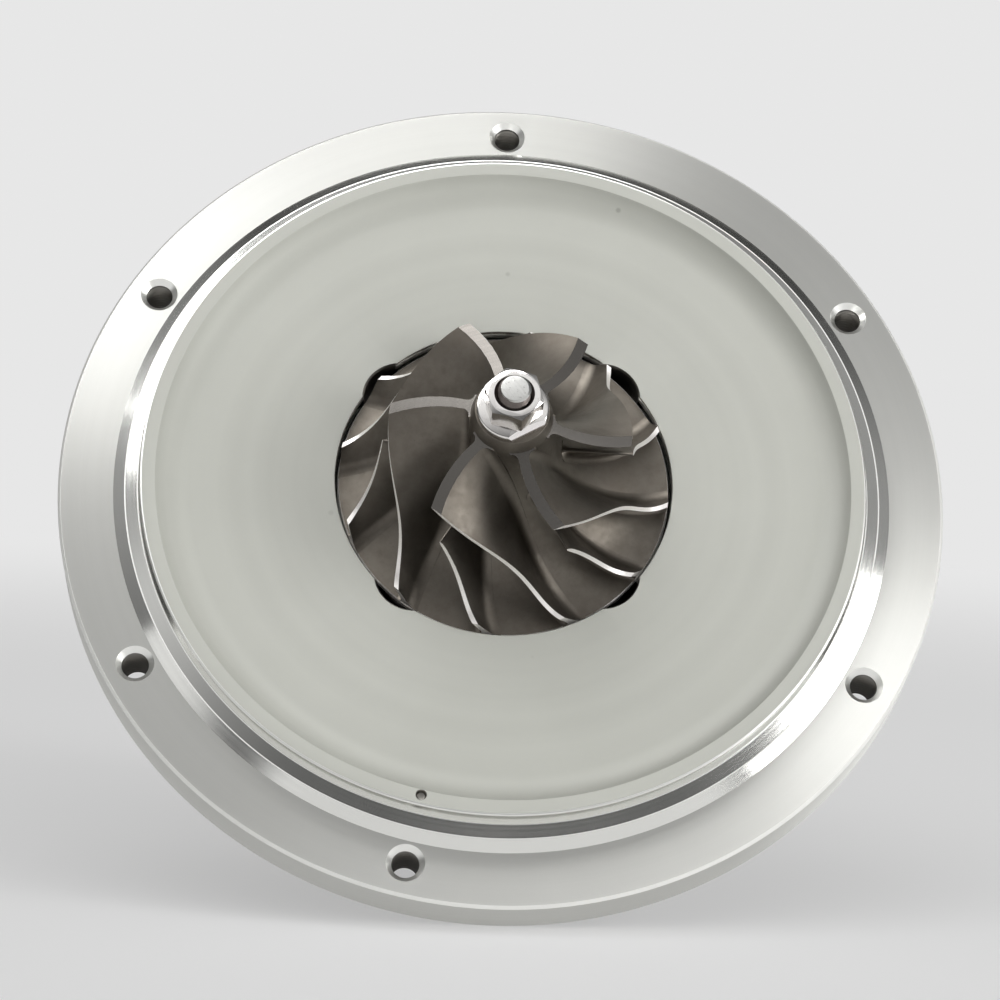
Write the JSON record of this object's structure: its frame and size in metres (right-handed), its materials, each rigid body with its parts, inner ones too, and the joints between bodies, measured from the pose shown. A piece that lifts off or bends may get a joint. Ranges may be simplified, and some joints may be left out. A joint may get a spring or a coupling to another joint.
{
  "type": "turbo cartridge",
  "caption": "Turbocharger centre cartridge: seal plate with bolt flange, bearing housing and the rotor with compressor and turbine wheels.",
  "frame": {"origin": "centre of the bolt flange's hole circle, in the flange's front face", "axes": "+Z along the shaft out of the compressor side, +Y towards the oil inlet, -Y towards the oil drain"},
  "size_m": [0.14, 0.14, 0.1332],
  "materials": {
    "plate_aluminium": "satin cast and turned aluminium",
    "wheel_aluminium": "dark cast aluminium with turned blade edges",
    "bright_steel": "bright machined steel",
    "ground_steel": "ground steel",
    "dark_steel": "black oxide steel",
    "seal_rubber": "smooth moulded rubber",
    "ring_iron": "ground",
    "bearing_bronze": "machined bronze",
    "housing_iron": "raw casting with machined faces",
    "shield_steel": "pressed stainless sheet",
    "turbine_alloy": "cast nickel alloy"
  },
  "bodies": {
    "housing": {"seal_plate": "plate_aluminium", "seal_plate_screws": "dark_steel", "seal_plate_o_ring": "seal_rubber", "bearing_housing": "housing_iron", "compressor_seal_ring": "ring_iron", "oil_deflector": "bright_steel", "thrust_bearing": "bearing_bronze", "thrust_bearing_screws": "dark_steel", "heat_shield": "shield_steel", "turbine_flange_pin": "ground_steel", "bearing_clip_1": "dark_steel", "bearing_clip_2": "dark_steel", "bearing_clip_3": "dark_steel", "turbine_seal_ring_1": "ring_iron", "turbine_seal_ring_2": "ring_iron"},
    "rotor": {"shaft": "ground_steel", "turbine_wheel": "turbine_alloy", "compressor_wheel": "wheel_aluminium", "shaft_nut": "bright_steel", "oil_flinger": "ground_steel", "thrust_collar_front": "ground_steel", "thrust_collar_rear": "ground_steel"},
    "bearing_compressor": {"journal_bearing_compressor": "bearing_bronze"},
    "bearing_turbine": {"journal_bearing_turbine": "bearing_bronze"}
  },
  "joints": [
    {"name": "rotor_spin", "type": "hinge", "parent": "housing", "child": "rotor", "pos_m": [0, 0, 0], "axis": [0, 0, 1], "continuous": true},
    {"name": "bearing_compressor_spin", "type": "hinge", "parent": "housing", "child": "bearing_compressor", "pos_m": [0, 0, -0.029], "axis": [0, 0, 1], "continuous": true},
    {"name": "bearing_turbine_spin", "type": "hinge", "parent": "housing", "child": "bearing_turbine", "pos_m": [0, 0, -0.053], "axis": [0, 0, 1], "continuous": true}
  ],
  "couplings": [
    {"joint": "bearing_compressor_spin", "follows": "rotor_spin", "ratio": 0.3},
    {"joint": "bearing_turbine_spin", "follows": "rotor_spin", "ratio": 0.3}
  ]
}
